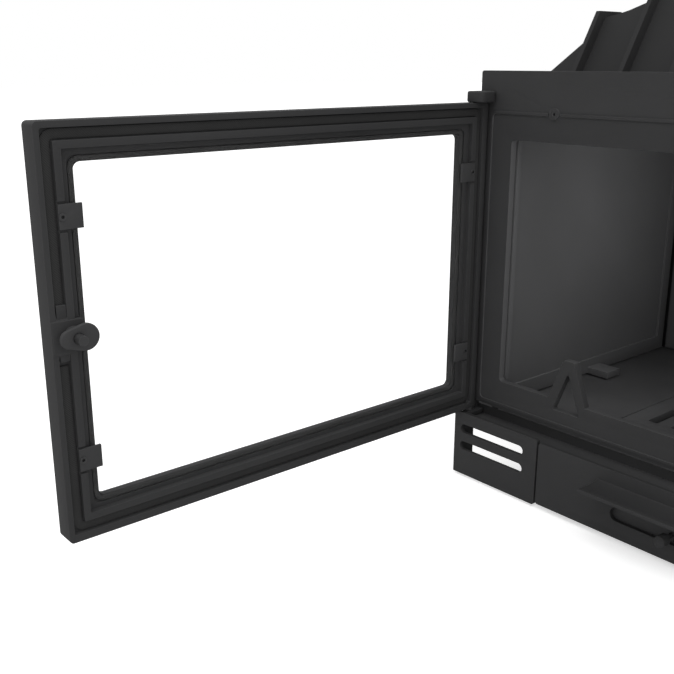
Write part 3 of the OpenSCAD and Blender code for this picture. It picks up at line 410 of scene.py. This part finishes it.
def woven_strip(name, rows, material, half_w, half_t, mid_y, strand, proud, closed=False, around=20):
    """A flat braided strip along the rows, its strands crossing both ways round it."""
    mesh = bpy.data.meshes.new(name)
    work = bmesh.new()
    rings = []
    run = 0.0
    for index, (x, z, out) in enumerate(rows):
        if index:
            run += math.dist((x, z), rows[index - 1][:2])
        ring = []
        for k in range(around):
            angle = 2 * math.pi * k / around
            c, s = math.cos(angle), math.sin(angle)
            wide = math.copysign(abs(c) ** SQUARENESS, c)
            deep = math.copysign(abs(s) ** SQUARENESS, s)
            along = run / strand * math.pi
            over = math.sin(along + 2 * angle) * math.sin(along - 2 * angle)
            w = (half_w - proud + proud * over) * wide
            t = (half_t - proud + proud * over) * deep
            ring.append(work.verts.new(swung(x + out[0] * w, mid_y + t, z + out[1] * w)))
        rings.append(ring)
    pairs = list(zip(rings, rings[1:])) + ([(rings[-1], rings[0])] if closed else [])
    for first, second in pairs:
        for k in range(around):
            n = (k + 1) % around
            work.faces.new((first[k], first[n], second[n], second[k]))
    if not closed:
        work.faces.new(list(reversed(rings[0])))
        work.faces.new(rings[-1])
    bmesh.ops.recalc_face_normals(work, faces=work.faces)
    for face in work.faces:
        face.smooth = True
    work.to_mesh(mesh)
    work.free()
    made = bpy.data.objects.new(name, mesh)
    bpy.context.scene.collection.objects.link(made)
    made.data.materials.append(material)
    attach(made, "door")
    return made


# Centre line of the groove and the heights where it is filled by the latch pad
GROOVE = {"left": -293.0, "right": 298.0, "low": 117.7, "high": 516.3, "turn": 7.5}
PAD_FROM, PAD_TO = 294.3, 353.3
rope_rows = rounded_path(**GROOVE, step=1.5)
start = next(i for i, (x, z, out) in enumerate(rope_rows) if x == GROOVE["right"] and z > PAD_TO)
rope_rows = rope_rows[start:] + rope_rows[:start]
rope_rows = [r for r in rope_rows if not (r[0] == GROOVE["right"] and PAD_FROM < r[1] < PAD_TO)]
rope = woven_strip("rope_braid", rope_rows, ROPE, 5.0, 1.15, -7.8, 4.2, 0.2)
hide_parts("door_rope")

WINDOW = {"left": -267.0, "right": 273.5, "low": 140.3, "high": 492.3, "turn": 8.0}
tape_rows = rounded_path(**WINDOW, step=1.5)
tape = woven_strip("glass_tape", tape_rows, TAPE, 2.8, 0.95, -11.0, 2.4, 0.03, closed=True, around=16)
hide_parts("glass_gasket")

# Plate and two wedges of the latch pad, which fill the groove beside it
plate = prism("latch_plate", soft_corners(276.6, 309.0, 307.3, 340.4, 1.5), -6.2, -1.6, swung)
finish(plate, "door_casting", 0.7)
for label, low, high in (("upper", 339.8, 355.6), ("lower", 298.6, 307.9)):
    wedge = prism("latch_wedge_" + label, soft_corners(292.3, 302.4, low, high, 0.8), -8.8, -3.6, swung)
    finish(wedge, "door_casting", 0.5)

# The upper lug lies just over the door
upper = prism("upper_lug", soft_corners(-316.0, -286.5, -29.2, -0.1, 6.5), 528.8, 543.0, standing)
finish(upper, "upper_hinge_lug", 2.4)
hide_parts("upper_hinge_lug")

for name, solid in nodes.items():
    if name not in ROUNDED:
        solid.data.materials.clear()
        solid.data.materials.append(material_of(name))


# Floor, light and camera
def seen_behind(tree):
    """1 for what the camera sees, directly or through glass, otherwise 0."""
    path = tree.nodes.new("ShaderNodeLightPath")
    return maths(tree, "MAXIMUM", path.outputs["Is Camera Ray"], path.outputs["Is Transmission Ray"])


bpy.ops.mesh.primitive_plane_add(size=40, location=(0, 0, 0))
floor = bpy.context.object
floor.name = "floor_plane"
pale, tree, shader = new_material("floor_pale")
shader.inputs["Base Color"].default_value = (0.86, 0.86, 0.86, 1)
shader.inputs["Roughness"].default_value = 0.9
shader.inputs["Specular IOR Level"].default_value = 0.0
shader.inputs["Emission Color"].default_value = (1, 1, 1, 1)
glow = maths(tree, "MULTIPLY", seen_behind(tree), FLOOR_GLOW)
tree.links.new(glow, shader.inputs["Emission Strength"])
floor.data.materials.append(pale)

world = bpy.data.worlds.new("studio")
bpy.context.scene.world = world
world.use_nodes = True
tree = world.node_tree
sky = tree.nodes["Background"]
sky.inputs["Color"].default_value = (1, 1, 1, 1)
strength = ramp(tree, seen_behind(tree), 0.0, 1.0, SKY, BACKDROP)
tree.links.new(strength, sky.inputs["Strength"])


def place_light(data, place, target):
    """Puts a lamp in its place, turned to its target."""
    made = bpy.data.objects.new(data.name, data)
    made.location = place
    made.rotation_euler = (Vector(target) - Vector(place)).to_track_quat("-Z", "Y").to_euler()
    bpy.context.scene.collection.objects.link(made)
    return made


def area(name, place, target, size, power, spread=180):
    """A square lamp, which the camera doesn't see."""
    data = bpy.data.lights.new(name, "AREA")
    data.shape = "SQUARE"
    data.size = size
    data.energy = power
    data.spread = math.radians(spread)
    place_light(data, place, target).visible_camera = False


def spot(name, place, target, angle, size, power):
    """A lamp with a soft cone."""
    data = bpy.data.lights.new(name, "SPOT")
    data.energy = power
    data.spot_size = math.radians(angle)
    data.spot_blend = 1.0
    data.shadow_soft_size = size
    place_light(data, place, target)


area("top", (0.15, -0.9, 2.1), (0.0, 0.0, 0.2), 0.9, 8)
area("chamber", (0.13, 0.12, 0.385), (-0.257, 0.19, 0.36), 0.13, 0.27, spread=110)
spot("door", (1.25, -1.3, 0.75), (-0.297, -0.46, 0.36), 25, 0.25, 20)

lens = bpy.data.cameras.new("photo_camera")
lens.sensor_width = 36
lens.lens = 49.2
camera = bpy.data.objects.new("photo_camera", lens)
camera.location = (0.5268, -0.95877, 0.5798)
camera.rotation_euler = (math.radians(73.348), 0, math.radians(49.877))
bpy.context.scene.collection.objects.link(camera)
bpy.context.scene.camera = camera
bpy.context.scene.view_settings.view_transform = "Standard"

bpy.context.view_layer.update()
